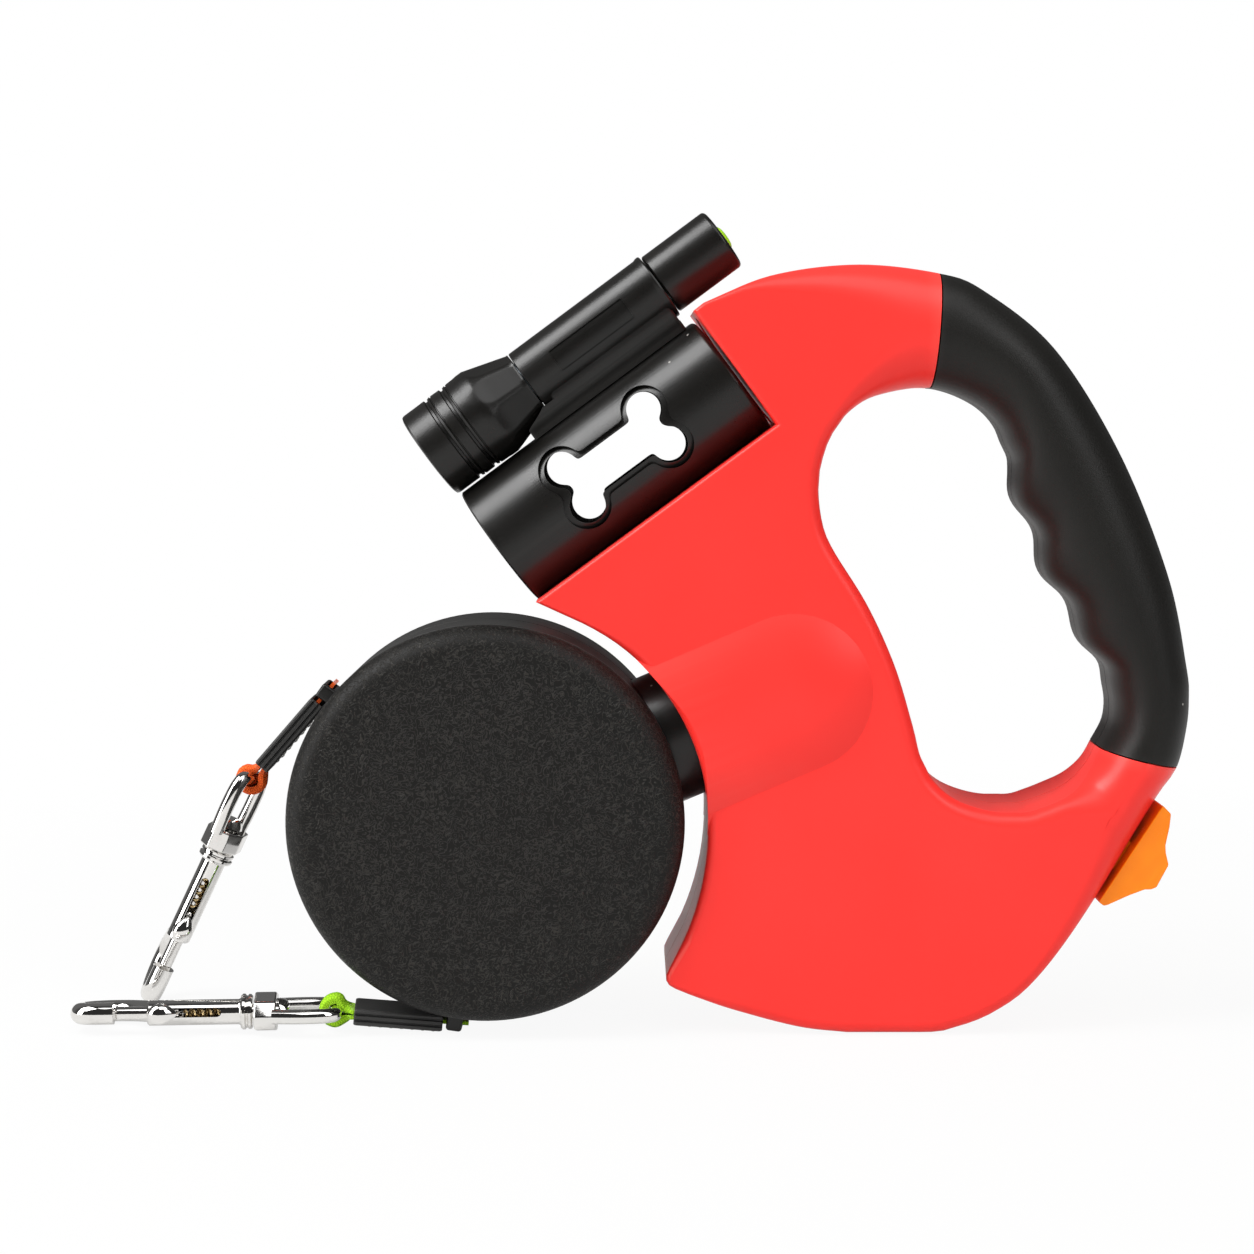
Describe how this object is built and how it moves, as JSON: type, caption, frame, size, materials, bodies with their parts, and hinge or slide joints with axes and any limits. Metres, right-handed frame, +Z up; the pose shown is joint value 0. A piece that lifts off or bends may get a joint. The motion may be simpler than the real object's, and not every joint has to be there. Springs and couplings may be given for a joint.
{
  "type": "retractable dog leash",
  "caption": "Handheld retractable leash with a gripped handle, a swivelling reel head for paired tapes with bolt snaps, sliding brakes, a bag tube with a bone window and a slide-off torch.",
  "frame": {"origin": "on the floor, under the middle of the handle and head", "axes": "+X from the reel head to the grip, +Y away from the viewer of the picture, +Z up"},
  "size_m": [0.2445, 0.046, 0.1779],
  "materials": {
    "red_shell": "satin moulded",
    "grip_rubber": "matte",
    "sleeve_rubber": "ribbed matte",
    "grained_plastic": "fine grain",
    "black_plastic": "satin",
    "orange_plastic": "gloss",
    "lime_plastic": "gloss",
    "orange_tape": "woven tape",
    "lime_tape": "woven tape",
    "chrome": "bright plated",
    "steel": "plain",
    "brass_spring": "drawn wire",
    "acetal": "satin",
    "lens": "clear",
    "mirror": "mirror plated",
    "cell": "printed label without words"
  },
  "bodies": {
    "handle": {"handle_shell_near": "red_shell", "handle_shell_far": "red_shell", "grip_near": "grip_rubber", "grip_far": "grip_rubber", "shell_screw_1": "steel", "shell_screw_2": "steel", "shell_screw_3": "steel", "shell_screw_4": "steel", "swivel_bush": "acetal", "bag_tube": "black_plastic", "crank_pin": "steel"},
    "button_near": {"brake_button_near": "orange_plastic"},
    "button_far": {"brake_button_far": "lime_plastic"},
    "crank_near": {"brake_crank_near": "black_plastic"},
    "crank_far": {"brake_crank_far": "black_plastic"},
    "link_near": {"brake_link_near": "steel"},
    "link_far": {"brake_link_far": "steel"},
    "head": {"reel_case_near": "black_plastic", "reel_case_far": "black_plastic", "reel_cover_near": "grained_plastic", "reel_cover_far": "grained_plastic", "neck": "black_plastic", "neck_nut": "steel", "neck_washer": "steel", "case_screw_1": "steel", "case_screw_2": "steel", "case_screw_3": "steel", "case_screw_4": "steel", "reel_axle": "steel", "tape_guide_near": "black_plastic", "tape_guide_far": "black_plastic", "sleeve_near": "sleeve_rubber", "sleeve_far": "sleeve_rubber", "tape_loop_near": "lime_tape", "tape_loop_far": "orange_tape", "hook_eye_near": "chrome", "hook_eye_far": "chrome"},
    "plunger_outer": {"brake_plunger_outer": "steel"},
    "plunger_inner": {"brake_plunger_inner": "steel"},
    "reel_near": {"reel_near": "acetal", "power_spring_near": "steel", "tape_winding_near": "lime_tape"},
    "reel_far": {"reel_far": "acetal", "power_spring_far": "steel", "tape_winding_far": "orange_tape"},
    "hook_near": {"hook_body_near": "chrome", "hook_spring_near": "brass_spring"},
    "hook_far": {"hook_body_far": "chrome", "hook_spring_far": "brass_spring"},
    "bolt_near": {"hook_bolt_near": "chrome"},
    "bolt_far": {"hook_bolt_far": "chrome"},
    "torch": {"torch_head": "black_plastic", "torch_lens": "lens", "torch_reflector": "mirror", "torch_barrel": "black_plastic", "torch_cell": "cell", "torch_tail": "black_plastic"},
    "torch_switch": {"torch_button": "lime_plastic"}
  },
  "joints": [
    {"name": "head_swivel", "type": "hinge", "parent": "handle", "child": "head", "pos_m": [-0.0552, 0, 0.0465], "axis": [0.9205, 0, 0.3907], "continuous": true},
    {"name": "reel_near_spin", "type": "hinge", "parent": "head", "child": "reel_near", "pos_m": [-0.0552, 0, 0.0465], "axis": [0, 1, 0], "continuous": true, "deforming": ["power_spring_near"]},
    {"name": "reel_far_spin", "type": "hinge", "parent": "head", "child": "reel_far", "pos_m": [-0.0552, 0, 0.0465], "axis": [0, 1, 0], "continuous": true, "deforming": ["power_spring_far"]},
    {"name": "brake_near", "type": "slide", "parent": "handle", "child": "button_near", "axis": [0.5422, 0, 0.8403], "range_m": [0, 0.004]},
    {"name": "crank_near_turn", "type": "hinge", "parent": "handle", "child": "crank_near", "pos_m": [0.02368, 0, 0.05391], "axis": [0, -1, 0], "range_deg": [0, 8.05]},
    {"name": "link_near_turn", "type": "hinge", "parent": "crank_near", "child": "link_near", "pos_m": [0.02658, 0, 0.03621], "axis": [0, -1, 0], "range_deg": [-4.62, 0]},
    {"name": "plunger_outer_slide", "type": "slide", "parent": "head", "child": "plunger_outer", "axis": [-0.9205, 0, -0.3907], "range_m": [0, 0.00361]},
    {"name": "brake_far", "type": "slide", "parent": "handle", "child": "button_far", "axis": [0.5422, 0, 0.8403], "range_m": [0, 0.004]},
    {"name": "crank_far_turn", "type": "hinge", "parent": "handle", "child": "crank_far", "pos_m": [0.02368, 0, 0.05391], "axis": [0, -1, 0], "range_deg": [0, 8.05]},
    {"name": "link_far_turn", "type": "hinge", "parent": "crank_far", "child": "link_far", "pos_m": [0.02658, 0, 0.03621], "axis": [0, -1, 0], "range_deg": [-4.62, 0]},
    {"name": "plunger_inner_slide", "type": "slide", "parent": "head", "child": "plunger_inner", "axis": [-0.9205, 0, -0.3907], "range_m": [0, 0.00331]},
    {"name": "torch_pull", "type": "slide", "parent": "handle", "child": "torch", "axis": [-0.8049, 0, -0.5934], "range_m": [0, 0.055]},
    {"name": "torch_press", "type": "slide", "parent": "torch", "child": "torch_switch", "axis": [-0.8049, 0, -0.5934], "range_m": [0, 0.0012], "stiffness_N_per_m": 800, "springref_m": -0.001},
    {"name": "hook_near_swivel", "type": "hinge", "parent": "head", "child": "hook_near", "pos_m": [-0.08847, -0.0121, 0.0045], "axis": [-0.9976, -0.0698, 0], "continuous": true},
    {"name": "bolt_near_slide", "type": "slide", "parent": "hook_near", "child": "bolt_near", "axis": [0.9976, 0.0698, 0], "range_m": [0, 0.007], "stiffness_N_per_m": 250, "springref_m": -0.004, "deforming": ["hook_spring_near"]},
    {"name": "hook_far_swivel", "type": "hinge", "parent": "head", "child": "hook_far", "pos_m": [-0.10937, 0.0102, 0.05236], "axis": [-0.4289, 0, -0.9033], "continuous": true},
    {"name": "bolt_far_slide", "type": "slide", "parent": "hook_far", "child": "bolt_far", "axis": [0.4289, 0, 0.9033], "range_m": [0, 0.007], "stiffness_N_per_m": 250, "springref_m": -0.004, "deforming": ["hook_spring_far"]}
  ],
  "couplings": [
    {"joint": "crank_near_turn", "follows": "brake_near", "rad_per_m": 35.08},
    {"joint": "link_near_turn", "follows": "brake_near", "rad_per_m": -20.05},
    {"joint": "plunger_outer_slide", "follows": "brake_near", "ratio": 0.9},
    {"joint": "crank_far_turn", "follows": "brake_far", "rad_per_m": 35.08},
    {"joint": "link_far_turn", "follows": "brake_far", "rad_per_m": -20.05},
    {"joint": "plunger_inner_slide", "follows": "brake_far", "ratio": 0.825}
  ]
}
